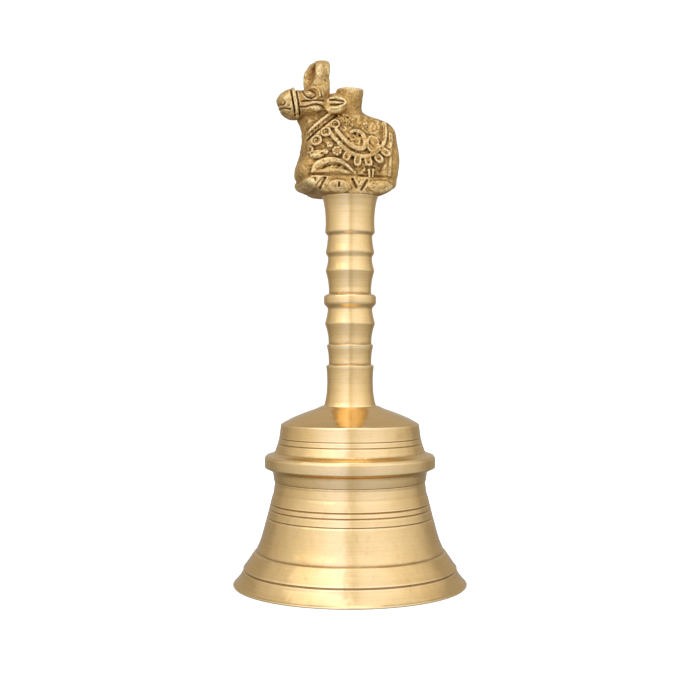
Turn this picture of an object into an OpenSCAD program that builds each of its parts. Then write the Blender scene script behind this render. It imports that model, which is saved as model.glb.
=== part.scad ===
// Brass puja hand bell: a turned bell and handle, a cast Nandi bull on a lotus pedestal on top,
// and a clapper that hangs from an eye bolt inside the bell on a stirrup link.
// Frame: +Z up, origin at the centre of the mouth on the plane of the rim. The bull faces -X.

/* [Bell] */
// Outer diameter of the mouth
mouth_d = 77.6; // [75:0.2:80]
// Height from the rim to the seat of the handle
bell_h = 59; // [58.5:0.1:60]
// Thickness of the wall at the waist
wall_t = 2.8; // [2.4:0.1:3.2]
// Thickness of the crown under the handle
crown_t = 4; // [3.6:0.1:4.4]

/* [Handle] */
// Height of the handle between the bell and the pedestal
handle_h = 69.4; // [66:0.2:73]
// Diameter of the handle at its narrowest
grip_d = 14.1; // [13.4:0.1:15]

/* [Figure] */
// Height of the bull with its pedestal
figure_h = 43.7; // [42:0.1:46]

/* [Clapper] */
// Diameter of the striking ball
ball_d = 16; // [14:0.5:16]
// Height of the middle of the ball above the rim
ball_z = 11; // [11:0.5:14]
// Diameter of the rod
rod_d = 2.8; // [2.4:0.1:3]

/* [Fasteners] */
// Diameter of the threads of the eye bolt and of the stud
thread_d = 6; // [5.6:0.1:6]
// Across flats of the hexagon nut
nut_flats = 10; // [9.5:0.5:11]

/* [Hidden] */
$fn = 96;
hull_fn = 32;

polished = [0.87, 0.72, 0.42];
antique = [0.70, 0.54, 0.28];
steel = [0.62, 0.62, 0.60];

mouth_r = mouth_d / 2;
grip_r = grip_d / 2;
handle_z = bell_h;
figure_z = bell_h + handle_h;
crown_z = bell_h - crown_t;

// Grooves cut with a pointed tool
score_depth = 0.35;
score_half = 0.32;

// Radii of the outside of the bell, from the rim up
lip_r = 0.911 * mouth_r;
band_r = 0.815 * mouth_r;
waist_foot_r = 0.799 * mouth_r;
neck_r = 0.653 * mouth_r;
throat_r = 0.648 * mouth_r;
under_flange_r = 0.660 * mouth_r;
flange_r = 0.729 * mouth_r;
over_flange_r = 0.652 * mouth_r;
shoulder_r = 0.594 * mouth_r;
seat_r = 9.3;

// Levels of the same places
lip_z = 0.092 * bell_h;
band_z = 0.194 * bell_h;
waist_z = 0.202 * bell_h;
neck_z = 0.519 * bell_h;
throat_z = 0.529 * bell_h;
flange_z = 0.659 * bell_h;
flange_top_z = 0.712 * bell_h;
shoulder_z = 0.900 * bell_h;
waist_scores = [0.381 * bell_h, 0.427 * bell_h, 0.456 * bell_h];
throat_score = 0.580 * bell_h;
cap_scores = [0.792 * bell_h, 0.822 * bell_h];

// Clearances
thread_gap = 0.02;
wire_gap = 0.3;
crown_hole_r = thread_d / 2 + 0.3;
washer_seat_r = 8.5;

// The hanging of the clapper, from the crown down
washer_t = 1;
washer_r = 7;
nut_t = 4;
eye_wire_r = 1.1;
eye_r = 3.6;
eye_neck_h = 1.6;
eye_z = crown_z - washer_t - nut_t - eye_neck_h - eye_r;
stirrup_wire_r = 0.8;
stirrup_r = 3.6;
stirrup_top_z = eye_z - eye_r + eye_wire_r + stirrup_wire_r + wire_gap;
stirrup_h = 7.9;
stirrup_bar_z = stirrup_top_z - stirrup_h;
stirrup_corner_r = 1.4;
rod_eye_wire_r = 1.1;
rod_eye_r = 2.4;
rod_eye_z = stirrup_bar_z - (rod_eye_r - rod_eye_wire_r - stirrup_wire_r - wire_gap);

// Points of a parabolic bow from a to b that stands out by sag on the right of the way.
function bow(a, b, sag, n = 6) =
    let (d = b - a, side = [d.y, -d.x] / norm(d))
    [for (i = [0 : n]) let (t = i / n) a + d * t + side * 4 * sag * t * (1 - t)];

// Points of a Bezier curve between two end points, with one or two control points.
function curve3(a, b, c, n = 6) =
    [for (i = [0 : n]) let (t = i / n) a * (1 - t) ^ 2 + b * 2 * t * (1 - t) + c * t ^ 2];
function curve4(a, b, c, d, n = 8) =
    [for (i = [0 : n]) let (t = i / n, u = 1 - t)
        a * u ^ 3 + b * 3 * u ^ 2 * t + c * 3 * u * t ^ 2 + d * t ^ 3];

// ---- Bell ----

// The waist opens downwards: straight near the neck, and faster and faster towards the lip.
function waist_r(z) =
    let (h = neck_z - z, all = neck_z - waist_z, lean = 0.25)
    neck_r + lean * h + (waist_foot_r - neck_r - lean * all) * (h / all) ^ 3;

function waist_stretch(z0, z1, n) =
    [for (i = [0 : n]) let (z = z0 + (z1 - z0) * i / n) [waist_r(z), z]];

// The cap between the flange and the shoulder draws in upwards.
function cap_r(z) =
    let (t = (z - flange_top_z) / (shoulder_z - flange_top_z))
    over_flange_r + (shoulder_r - over_flange_r) * (1 - (1 - t) ^ 1.7);

function cap_stretch(z0, z1, n) =
    [for (i = [0 : n]) let (z = z0 + (z1 - z0) * i / n) [cap_r(z), z]];

function score(r, z) = [[r - score_depth, z]];

function shell_outside() = concat(
    [[mouth_r - 0.5, 0]],
    bow([mouth_r, 0.5], [lip_r + 0.1, lip_z - score_half], -0.4),
    score(lip_r, lip_z),
    bow([lip_r, lip_z + score_half], [band_r, band_z], -0.18),
    waist_stretch(waist_z, waist_scores[0] - score_half, 8),
    score(waist_r(waist_scores[0]), waist_scores[0]),
    waist_stretch(waist_scores[0] + score_half, waist_scores[1] - score_half, 2),
    score(waist_r(waist_scores[1]), waist_scores[1]),
    waist_stretch(waist_scores[1] + score_half, waist_scores[2] - score_half, 1),
    score(waist_r(waist_scores[2]), waist_scores[2]),
    waist_stretch(waist_scores[2] + score_half, neck_z, 3),
    [[throat_r, throat_z], [throat_r, throat_score - score_half]],
    score(throat_r, throat_score),
    [[throat_r + 0.15, throat_score + score_half], [under_flange_r, flange_z]],
    [[flange_r - 0.2, flange_z], [flange_r, flange_z + 0.3]],
    [[flange_r, flange_top_z - 0.3], [flange_r - 0.3, flange_top_z]],
    cap_stretch(flange_top_z, cap_scores[0] - score_half, 5),
    score(cap_r(cap_scores[0]), cap_scores[0]),
    cap_stretch(cap_scores[0] + score_half, cap_scores[1] - score_half, 1),
    score(cap_r(cap_scores[1]), cap_scores[1]),
    cap_stretch(cap_scores[1] + score_half, shoulder_z - 0.5, 3),
    bow([shoulder_r - 0.15, shoulder_z], [seat_r, bell_h - 0.1], 0.55),
    [[seat_r - 0.1, bell_h]]
);

function shell_inside() = concat(
    [[washer_seat_r, crown_z]],
    bow([washer_seat_r + 0.5, crown_z - 0.2], [shoulder_r - wall_t - 2, shoulder_z - 1.6], 0.4, 5),
    bow([shoulder_r - wall_t - 1.4, shoulder_z - 1.9],
        [shoulder_r - wall_t, shoulder_z - 4.2], 0.3, 3),
    [[over_flange_r - wall_t - 0.6, flange_z]],
    [for (i = [0 : 6]) let (z = neck_z + (waist_z - neck_z) * i / 6) [waist_r(z) - wall_t, z]],
    bow([band_r - wall_t, band_z - 0.9], [mouth_r - wall_t - 0.4, 0], 0.25, 5)
);

module bell_shell() {
    color(polished)
    rotate_extrude()
    polygon(concat(
        shell_outside(),
        [[crown_hole_r, bell_h], [crown_hole_r, crown_z]],
        shell_inside()
    ));
}

// ---- Handle ----

function hz(share) = handle_z + share * handle_h;
function hr(ratio) = ratio * grip_r;
function hp(ratio, share) = [hr(ratio), hz(share)];

// One turned bead after another, from the bell up: a curve to each arris, then the step to the next.
function handle_outside() = concat(
    [[hr(1.19), handle_z]],
    curve4(hp(1.24, 0.004), hp(1.02, 0.058), hp(1.042, 0.130), hp(1.12, 0.195)),
    curve3(hp(1.0, 0.201), hp(1.0, 0.252), hp(1.10, 0.291)),
    curve3(hp(1.007, 0.297), hp(1.007, 0.350), hp(1.177, 0.396)),
    curve3(hp(1.177, 0.397), hp(1.064, 0.437), hp(1.045, 0.466)),
    [hp(1.213, 0.487), hp(1.227, 0.490), hp(1.227, 0.529), hp(1.213, 0.531)],
    curve3(hp(0.996, 0.536), hp(0.986, 0.596), hp(1.149, 0.646)),
    curve3(hp(1.149, 0.647), hp(1.035, 0.676), hp(1.035, 0.711)),
    curve3(hp(1.146, 0.731), hp(1.05, 0.772), hp(1.044, 0.813)),
    curve4(hp(1.17, 0.834), hp(1.135, 0.886), hp(1.156, 0.951), hp(1.325, 0.996)),
    [[hr(1.325) - 0.2, figure_z]]
);

handle_foot_hole = 13;
stud_hole = 8.5;

module handle_stem() {
    color(polished)
    difference() {
        rotate_extrude()
        polygon(concat([[0, handle_z]], handle_outside(), [[0, figure_z]]));
        translate([0, 0, handle_z - 1])
        cylinder(r = thread_d / 2 + thread_gap, h = handle_foot_hole + 1);
        translate([0, 0, figure_z - stud_hole])
        cylinder(r = thread_d / 2 + thread_gap, h = stud_hole + 1);
    }
}

module figure_stud() {
    color(steel)
    translate([0, 0, figure_z - stud_hole + 0.5])
    cylinder(r = thread_d / 2, h = 2 * stud_hole - 1);
}

// ---- Bull ----
// Drawn at 43.7 mm tall on its own underside, and scaled to figure_h.

drawn_h = 43.7;
pedestal_z = [1.6, 5.8];
pedestal_x = [-17.0, 13.7];
pedestal_half_w = 9.8;
pedestal_foot_r = 9.2;

module ball_at(p, r) {
    translate(p)
    sphere(r = r, $fn = hull_fn);
}

module pair_at(p, r) {
    for (side = [-1, 1])
        ball_at([p.x, side * p.y, p.z], r);
}

module pedestal() {
    corner_r = 4;
    hull() {
        cylinder(r = pedestal_foot_r, h = 0.5, $fn = hull_fn);
        for (x = [pedestal_x[0] + corner_r, pedestal_x[1] - corner_r], side = [-1, 1])
            translate([x, side * (pedestal_half_w - corner_r), pedestal_z[0]])
            cylinder(r = corner_r, h = pedestal_z[1] - pedestal_z[0], $fn = hull_fn);
    }
}

module trunk() {
    hull() {
        pair_at([11, 3.6, 18.6], 4.4);
        pair_at([10.6, 4.2, 9], 4.8);
        pair_at([-10.4, 3.8, 9], 5.0);
        pair_at([-9.4, 2.8, 19], 5.2);
        pair_at([1, 2.6, 23], 4.6);
    }
}

module neck() {
    hull() {
        pair_at([-10.6, 1.6, 19], 5.4);
        pair_at([-9.4, 1.2, 28], 4.6);
    }
}

module head() {
    hull() {
        pair_at([-10.6, 1.2, 31], 4.2);
        pair_at([-13.5, 0.8, 30], 4.6);
        pair_at([-20.6, 0.8, 30.6], 4.2);
        pair_at([-19.6, 0.6, 29.4], 4.4);
    }
}

// The two horns are one upright ring, cut flat at the top, with its foot sunk in the head.
module horns() {
    horn_t = 5.4;
    ring_x = -11.1;
    ring_z = 38.0;
    ring_r = 6.2;
    ring_hole_r = 2.6;
    foot_z = 30;
    intersection() {
        translate([ring_x, 0, ring_z])
        rotate([90, 0, 90])
        linear_extrude(horn_t, center = true)
        difference() {
            circle(r = ring_r);
            circle(r = ring_hole_r);
        }
        translate([ring_x - horn_t, -ring_r, foot_z])
        cube([2 * horn_t, 2 * ring_r, drawn_h - foot_z]);
    }
}

module ear(side) {
    hull() {
        ball_at([-8.4, side * 4.2, 31.2], 1.8);
        ball_at([-4.6, side * 6.6, 31.4], 2.2);
    }
}

module hump() {
    foot_z = 22;
    top_z = 35.8;
    translate([-0.3, 0, foot_z])
    cylinder(r1 = 4.2, r2 = 4.6, h = top_z - foot_z);
}

module nandi_figure() {
    color(antique)
    difference() {
        translate([0, 0, figure_z])
        scale(figure_h / drawn_h)
        union() {
            pedestal();
            trunk();
            neck();
            head();
            horns();
            ear(-1);
            ear(1);
            hump();
        }
        translate([0, 0, figure_z - 1])
        cylinder(r = thread_d / 2 + thread_gap, h = stud_hole + 1);
    }
}

// ---- Fittings in the crown ----

module crown_eye_bolt() {
    color(steel)
    union() {
        translate([0, 0, eye_z + eye_r])
        cylinder(r = thread_d / 2, h = handle_z + handle_foot_hole - 1 - eye_z - eye_r);
        translate([0, 0, eye_z])
        rotate([90, 0, 0])
        rotate_extrude()
        translate([eye_r, 0])
        circle(r = eye_wire_r);
    }
}

module crown_washer() {
    color(steel)
    translate([0, 0, crown_z - washer_t])
    difference() {
        cylinder(r = washer_r, h = washer_t);
        translate([0, 0, -1])
        cylinder(r = thread_d / 2 + 0.2, h = washer_t + 2);
    }
}

module crown_nut() {
    color(steel)
    translate([0, 0, crown_z - washer_t - nut_t])
    difference() {
        cylinder(d = nut_flats / cos(30), h = nut_t, $fn = 6);
        translate([0, 0, -1])
        cylinder(r = thread_d / 2 + thread_gap, h = nut_t + 2);
    }
}

// ---- Clapper ----

// A bent wire in the YZ plane: a half ring over the eye, two legs, and a straight bar across the foot.
module clapper_stirrup() {
    shoulder_y = stirrup_top_z - stirrup_r;
    leg_foot = stirrup_bar_z + stirrup_corner_r;
    bar_half = stirrup_r - stirrup_corner_r;
    color(steel)
    union() {
        translate([0, 0, shoulder_y])
        rotate([90, 0, 90])
        rotate_extrude(angle = 180)
        translate([stirrup_r, 0])
        circle(r = stirrup_wire_r);
        for (side = [-1, 1]) {
            translate([0, side * stirrup_r, leg_foot])
            cylinder(r = stirrup_wire_r, h = shoulder_y - leg_foot);
            translate([0, side * bar_half, leg_foot])
            rotate([90, 0, 90])
            rotate([0, 0, side > 0 ? 270 : 180])
            rotate_extrude(angle = 90)
            translate([stirrup_corner_r, 0])
            circle(r = stirrup_wire_r);
        }
        translate([0, bar_half, stirrup_bar_z])
        rotate([90, 0, 0])
        cylinder(r = stirrup_wire_r, h = 2 * bar_half);
    }
}

ball_flat = 0.2;
rod_foot = 0.8;
collar_r = 3.4;
collar_h = 2.6;

// A wire with an eye bent at the top, a shoulder above the ball, and a foot hammered over below it.
module clapper_rod() {
    ball_r = ball_d / 2;
    top = rod_eye_z - rod_eye_r;
    foot_z = ball_z - ball_r + ball_flat;
    color(polished)
    union() {
        translate([0, 0, rod_eye_z])
        rotate([90, 0, 0])
        rotate_extrude()
        translate([rod_eye_r, 0])
        circle(r = rod_eye_wire_r);
        translate([0, 0, foot_z - rod_foot])
        cylinder(d = rod_d, h = top - foot_z + rod_foot);
        translate([0, 0, ball_z + ball_r + collar_h - 1])
        cylinder(d = rod_d + 1.4, h = 1.2);
        translate([0, 0, foot_z - rod_foot])
        cylinder(d = rod_d + 1.2, h = rod_foot);
    }
}

module clapper_ball() {
    ball_r = ball_d / 2;
    color(polished)
    translate([0, 0, ball_z])
    difference() {
        union() {
            sphere(r = ball_r);
            cylinder(r = collar_r, h = ball_r + collar_h - 1);
        }
        translate([0, 0, -ball_r - 1])
        cylinder(r = 4, h = 1 + ball_flat);
        translate([0, 0, -ball_r - 1])
        cylinder(d = rod_d + 2 * thread_gap, h = 2 * ball_r + collar_h + 2);
    }
}

bell_shell();
handle_stem();
nandi_figure();
figure_stud();
crown_eye_bolt();
crown_washer();
crown_nut();
clapper_stirrup();
clapper_rod();
clapper_ball();
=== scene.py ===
import math

import bpy
import numpy as np
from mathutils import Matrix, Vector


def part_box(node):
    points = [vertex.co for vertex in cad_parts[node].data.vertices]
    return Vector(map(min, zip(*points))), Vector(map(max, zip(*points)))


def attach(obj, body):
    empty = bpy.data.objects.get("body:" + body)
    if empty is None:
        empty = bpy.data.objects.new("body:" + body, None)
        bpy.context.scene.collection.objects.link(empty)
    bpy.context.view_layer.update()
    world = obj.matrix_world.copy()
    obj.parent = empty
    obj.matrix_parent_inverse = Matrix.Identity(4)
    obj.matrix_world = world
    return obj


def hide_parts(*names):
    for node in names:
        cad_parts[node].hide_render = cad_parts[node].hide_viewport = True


# A brass puja hand bell on a pale floor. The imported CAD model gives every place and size.
# The bell, the handle, the cast bull, the fittings in the crown and the parts of the clapper are
# refined pieces that stand for their CAD nodes; the stud keeps its CAD mesh. The pieces are drawn
# in millimetres and become metres in the meshes. Lamps and camera are placed in metres.

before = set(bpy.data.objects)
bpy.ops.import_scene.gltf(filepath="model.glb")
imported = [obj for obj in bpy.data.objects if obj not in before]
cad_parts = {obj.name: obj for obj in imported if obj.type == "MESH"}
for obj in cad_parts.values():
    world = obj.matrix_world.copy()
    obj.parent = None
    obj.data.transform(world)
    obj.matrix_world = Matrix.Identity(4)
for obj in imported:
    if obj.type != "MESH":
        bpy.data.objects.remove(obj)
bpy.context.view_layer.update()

MM = 0.001
rng = np.random.default_rng(11)


def node_box(name):
    """Lowest and highest corner of a CAD node in millimetres."""
    low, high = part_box(name)
    return np.array(low) / MM, np.array(high) / MM


# ---------------------------------------------------------------- curves and outlines

def spline(points, steps=6, closed=False):
    """A smooth curve through the points (Catmull-Rom), as an array."""
    p = np.array(points, float)
    n = len(p)
    if n < 3:
        return p
    if closed:
        ring = np.vstack([p[-1], p, p[:2]])
    else:
        ring = np.vstack([2 * p[0] - p[1], p, 2 * p[-1] - p[-2]])
    t = np.linspace(0, 1, steps, endpoint=False)[:, None]
    out = []
    for i in range(len(ring) - 3):
        a, b, c, d = ring[i:i + 4]
        out.append(0.5 * (2 * b + (c - a) * t + (2 * a - 5 * b + 4 * c - d) * t ** 2
                          + (3 * b - 3 * c + d - a) * t ** 3))
    if not closed:
        out.append(p[-1:])
    return np.vstack(out)


def filleted(corners, steps=4):
    """An outline whose corners (r, z, fillet) are rounded. A fillet of 0 leaves the corner sharp."""
    out = []
    for i, (r, z, fillet) in enumerate(corners):
        here = np.array([r, z])
        if fillet == 0 or i in (0, len(corners) - 1):
            out.append(here)
            continue
        before = np.array(corners[i - 1][:2]) - here
        after = np.array(corners[i + 1][:2]) - here
        reach_a = min(fillet, np.linalg.norm(before) * 0.49)
        reach_b = min(fillet, np.linalg.norm(after) * 0.49)
        start = here + before / np.linalg.norm(before) * reach_a
        end = here + after / np.linalg.norm(after) * reach_b
        for t in np.linspace(0, 1, steps + 1):
            out.append((1 - t) ** 2 * start + 2 * t * (1 - t) * here + t ** 2 * end)
    return np.array(out)


# ---------------------------------------------------------------- mesh makers

def new_piece(name, vertices, faces, sharp_degrees=35):
    mesh = bpy.data.meshes.new(name)
    mesh.from_pydata((np.asarray(vertices) * MM).tolist(), [], np.asarray(faces).tolist()
                     if isinstance(faces, np.ndarray) else faces)
    mesh.polygons.foreach_set("use_smooth", [True] * len(mesh.polygons))
    if sharp_degrees:
        mesh.set_sharp_from_angle(angle=math.radians(sharp_degrees))
    mesh.update()
    piece = bpy.data.objects.new(name, mesh)
    bpy.context.scene.collection.objects.link(piece)
    return piece


def hollowness(outline, reach=0.42):
    """How far each point of an outline lies below its neighbours within reach mm. A groove is above 0."""
    steps = np.linalg.norm(np.diff(outline, axis=0), axis=1)
    along = np.concatenate([[0], np.cumsum(steps)])
    tangent = np.gradient(outline, axis=0)
    tangent /= np.linalg.norm(tangent, axis=1)[:, None] + 1e-9
    normal = np.stack([tangent[:, 1], -tangent[:, 0]], 1)
    beside = [np.stack([np.interp(along + shift, along, outline[:, n]) for n in (0, 1)], 1)
              for shift in np.linspace(-reach, reach, 7)]
    return np.sum((np.mean(beside, axis=0) - outline) * normal, axis=1)


def turned(name, outline, sides=288, flats=0):
    """A lathe-turned solid. The outline runs in r and z, up the outside; it closes on itself,
    or ends on the axis where its first or last radius is 0. Flats cuts that many flat sides,
    whose corners reach the outline's largest radius."""
    outline = np.asarray(outline, float)
    hollow = hollowness(outline)
    angles = np.arange(sides) * 2 * math.pi / sides
    vertices, hollows, rings = [], [], []
    for (r, z), depth in zip(outline, hollow):
        if r < 1e-6:
            rings.append([len(vertices)] * sides)
            vertices.append([0, 0, z])
            hollows.append(0.0)
            continue
        rings.append(list(range(len(vertices), len(vertices) + sides)))
        reach = np.full(sides, float(r))
        if flats:
            turn = (angles + math.pi / flats) % (2 * math.pi / flats) - math.pi / flats
            reach = np.minimum(reach, outline[:, 0].max() * math.cos(math.pi / flats) / np.cos(turn))
        ring = np.stack([reach * np.cos(angles), reach * np.sin(angles), np.full(sides, z)], 1)
        vertices.extend(ring.tolist())
        hollows.extend([depth] * sides)
    closed = outline[0][0] > 1e-6
    faces = []
    for i in range(len(rings) if closed else len(rings) - 1):
        low, high = rings[i], rings[(i + 1) % len(rings)]
        for j in range(sides):
            k = (j + 1) % sides
            face = [low[j], low[k], high[k], high[j]]
            faces.append([v for n, v in enumerate(face) if v not in face[:n]])
    piece = new_piece(name, np.array(vertices), faces)
    piece.data.attributes.new("hollow", "FLOAT", "POINT").data.foreach_set("value", hollows)
    return piece


def wire_loop(name, path, radius, sides):
    """A round wire along a path that closes on itself."""
    path = np.asarray(path, float)
    n = len(path)
    tangent = np.roll(path, -1, 0) - np.roll(path, 1, 0)
    tangent /= np.linalg.norm(tangent, axis=1)[:, None]
    side = np.cross(tangent[0], [0.3, 0.5, 0.8])
    angles = np.arange(sides) * 2 * math.pi / sides
    vertices = []
    for p, t in zip(path, tangent):
        side = side - t * (side @ t)
        side /= np.linalg.norm(side)
        other = np.cross(t, side)
        ring = p + radius * (np.cos(angles)[:, None] * side + np.sin(angles)[:, None] * other)
        vertices.extend(ring.tolist())
    first, last = np.array(vertices[:sides]), np.array(vertices[(n - 1) * sides])
    closing_twist = int(np.argmin(np.linalg.norm(first - last, axis=1)))
    faces = []
    for i in range(n):
        a, b = i * sides, ((i + 1) % n) * sides
        twist = closing_twist if i == n - 1 else 0
        for j in range(sides):
            k = (j + 1) % sides
            faces.append([a + j, a + k, b + (k + twist) % sides, b + (j + twist) % sides])
    return new_piece(name, np.array(vertices), faces, sharp_degrees=50)


# ---------------------------------------------------------------- distance fields for the casting

def soft_min(a, b, k):
    h = np.clip(0.5 + 0.5 * (b - a) / k, 0, 1)
    return b * (1 - h) + a * h - k * h * (1 - h)


def soft_max(a, b, k):
    return -soft_min(-a, -b, k)


def ramp(low, high, value):
    t = np.clip((value - low) / (high - low), 0, 1)
    return t * t * (3 - 2 * t)


def outline_distance(x, z, points):
    """Signed distance to a closed outline, below zero inside."""
    best = np.full(np.broadcast(x, z).shape, 1e9, np.float32)
    inside = np.zeros(best.shape, bool)
    for a, b in zip(points, np.roll(points, -1, 0)):
        d = b - a
        t = np.clip(((x - a[0]) * d[0] + (z - a[1]) * d[1]) / (d @ d), 0, 1)
        best = np.minimum(best, (x - a[0] - t * d[0]) ** 2 + (z - a[1] - t * d[1]) ** 2)
        crosses = (a[1] > z) != (b[1] > z)
        if d[1] != 0:
            inside ^= crosses & (x < a[0] + d[0] * (z - a[1]) / d[1])
    best = np.sqrt(best)
    return np.where(inside, -best, best)


def ellipsoid(x, y, z, centre, radii):
    px, py, pz = (v - c for v, c in zip((x, y, z), centre))
    near = np.sqrt((px / radii[0]) ** 2 + (py / radii[1]) ** 2 + (pz / radii[2]) ** 2)
    far = np.sqrt((px / radii[0] ** 2) ** 2 + (py / radii[1] ** 2) ** 2
                  + (pz / radii[2] ** 2) ** 2)
    return near * (near - 1) / (far + 1e-6)


class Relief:
    """A height map in mm over the flank of the casting, drawn with strokes and lobes."""

    STEP = 0.1

    def __init__(self, low, high):
        self.low = np.array(low, float)
        counts = ((np.array(high) - self.low) / self.STEP).astype(int) + 1
        self.height = np.zeros(counts, np.float32)

    def window(self, points, reach):
        low = ((points.min(0) - reach - self.low) / self.STEP).astype(int)
        high = ((points.max(0) + reach - self.low) / self.STEP).astype(int) + 2
        low = np.clip(low, 0, self.height.shape)
        high = np.clip(high, 0, self.height.shape)
        part = (slice(low[0], high[0]), slice(low[1], high[1]))
        u = self.low[0] + np.arange(low[0], high[0])[:, None] * self.STEP
        v = self.low[1] + np.arange(low[1], high[1])[None, :] * self.STEP
        return part, u, v

    def reach_of(self, path, half):
        """How far each place is from the path, as a share of the stroke's half width there.
        A list of points is taken as a smooth curve, and an array as the path itself."""
        path = spline(path) if isinstance(path, list) else np.atleast_2d(path)
        half = np.broadcast_to(half, len(path)).astype(float)
        part, u, v = self.window(path, half.max())
        share = np.full(np.broadcast(u, v).shape, 9.0)
        for i in range(max(len(path) - 1, 1)):
            a, b = path[i], path[min(i + 1, len(path) - 1)]
            d = b - a
            t = np.clip(((u - a[0]) * d[0] + (v - a[1]) * d[1]) / max(d @ d, 1e-9), 0, 1)
            far = np.hypot(u - a[0] - t * d[0], v - a[1] - t * d[1])
            width = half[i] + t * (half[min(i + 1, len(path) - 1)] - half[i])
            share = np.minimum(share, far / np.maximum(width, 1e-3))
        return part, share

    def dome(self, part, share, height, flat):
        """Raises the places whose share is below 1, level up to the flat share and round beyond."""
        t = np.clip((share - flat) / (1 - flat), 0, 1)
        rise = height * np.sqrt(np.clip(1 - t * t, 0, 1))
        self.height[part] = np.maximum(self.height[part], np.where(share < 1, rise, -9))

    def ridge(self, path, half, height, flat=0.0):
        """Raises a rounded stroke. flat is the share of it that is level on top."""
        self.dome(*self.reach_of(path, half), height, flat)

    def add(self, path, half, height):
        """Adds a soft swelling, or with a negative height cuts a groove or pit."""
        part, share = self.reach_of(path, half)
        self.height[part] += height * (1 - np.clip(share, 0, 1) ** 2) ** 2

    def lobe(self, centre, radii, height, turn=0.0, flat=0.3):
        """Raises an oval boss."""
        centre = np.array(centre, float)
        part, u, v = self.window(centre[None, :], max(radii))
        c, s = math.cos(math.radians(turn)), math.sin(math.radians(turn))
        a = (c * (u - centre[0]) + s * (v - centre[1])) / radii[0]
        b = (c * (v - centre[1]) - s * (u - centre[0])) / radii[1]
        self.dome(part, np.hypot(a, b), height, flat)

    def plate(self, points, height, edge=0.3):
        """Raises the inside of a closed outline to a level plate with a soft edge."""
        points = np.asarray(points, float)
        part, u, v = self.window(points, edge)
        d = outline_distance(u, v, points)
        self.height[part] = np.maximum(self.height[part], height * ramp(edge, -edge, d))

    def at(self, u, v):
        """The height at each place, between the map's points."""
        a = np.clip((u - self.low[0]) / self.STEP, 0, self.height.shape[0] - 1.001)
        b = np.clip((v - self.low[1]) / self.STEP, 0, self.height.shape[1] - 1.001)
        i, j = a.astype(np.int32), b.astype(np.int32)
        a, b = (a - i).astype(np.float32), (b - j).astype(np.float32)
        h = self.height
        return ((h[i, j] * (1 - b) + h[i, j + 1] * b) * (1 - a)
                + (h[i + 1, j] * (1 - b) + h[i + 1, j + 1] * b) * a)


def lumps(shape, cell, generator):
    """Smooth random values about -1 to 1 over a grid, with a lump every cell points."""
    coarse = generator.uniform(-1, 1, [int(n / cell) + 4 for n in shape]).astype(np.float32)
    for axis, n in enumerate(shape):
        place = np.arange(n) / cell
        i = place.astype(int)
        t = place - i
        t = t * t * (3 - 2 * t)
        t = t.reshape([-1 if a == axis else 1 for a in range(len(shape))]).astype(np.float32)
        coarse = (np.take(coarse, i, axis) * (1 - t) + np.take(coarse, i + 1, axis) * t)
    return coarse


def blurred(field, size):
    """The field averaged over a box of size points, twice."""
    for axis in range(3):
        for _ in range(2):
            pad = [(0, 0)] * 3
            pad[axis] = (size // 2 + 1, size // 2)
            total = np.cumsum(np.pad(field, pad, mode="edge"), axis=axis, dtype=np.float64)
            ahead = np.take(total, range(size, total.shape[axis]), axis)
            behind = np.take(total, range(0, total.shape[axis] - size), axis)
            field = ((ahead - behind) / size).astype(np.float32)
    return field


def surface_net(field, low, step):
    """The surface where the field is zero, as vertices and quads (surface nets)."""
    inside = field < 0
    nx, ny, nz = field.shape
    count = np.zeros((nx - 1, ny - 1, nz - 1), np.int8)
    corner_ids = [(i, j, k) for i in (0, 1) for j in (0, 1) for k in (0, 1)]
    for i, j, k in corner_ids:
        count += inside[i:nx - 1 + i, j:ny - 1 + j, k:nz - 1 + k]
    cells = np.argwhere((count > 0) & (count < 8))
    index = np.full(count.shape, -1, np.int64)
    index[tuple(cells.T)] = np.arange(len(cells))
    values = {c: field[tuple((cells + c).T)] for c in corner_ids}
    total = np.zeros((len(cells), 3))
    hits = np.zeros(len(cells))
    for a in corner_ids:
        for axis in range(3):
            if a[axis]:
                continue
            b = tuple(v + (n == axis) for n, v in enumerate(a))
            va, vb = values[a], values[b]
            cross = (va < 0) != (vb < 0)
            t = np.where(cross, va / np.where(cross, va - vb, 1), 0)
            place = np.array(a, float)[None, :].repeat(len(cells), 0)
            place[:, axis] += t
            total += place * cross[:, None]
            hits += cross
    vertices = (cells + total / hits[:, None]) * step + low
    quads = []
    for axis in range(3):
        u, v = [n for n in range(3) if n != axis]
        first = [slice(None)] * 3
        second = [slice(None)] * 3
        first[axis], second[axis] = slice(0, -1), slice(1, None)
        for n in (u, v):
            first[n] = second[n] = slice(1, -1)
        one, two = inside[tuple(first)], inside[tuple(second)]
        edges = np.argwhere(one != two)
        outward = one[tuple(edges.T)]
        edges[:, u] += 1
        edges[:, v] += 1
        corners = []
        for du, dv in ((0, 0), (-1, 0), (-1, -1), (0, -1)):
            c = edges.copy()
            c[:, u] += du
            c[:, v] += dv
            corners.append(index[tuple(c.T)])
        quad = np.stack(corners, 1)
        flip = outward if axis == 1 else ~outward
        quad[flip] = quad[flip][:, ::-1]
        quads.append(quad)
    return vertices, np.vstack(quads)


def sampled(field, places, low, step):
    """The field's value at each place, from the eight grid points around it."""
    p = (places - low) / step
    p = np.clip(p, 0, np.array(field.shape) - 1.001)
    i = p.astype(int)
    t = p - i
    out = np.zeros(len(p))
    for a in (0, 1):
        for b in (0, 1):
            for c in (0, 1):
                weight = (abs(1 - a - t[:, 0]) * abs(1 - b - t[:, 1]) * abs(1 - c - t[:, 2]))
                out += weight * field[i[:, 0] + a, i[:, 1] + b, i[:, 2] + c]
    return out


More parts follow.
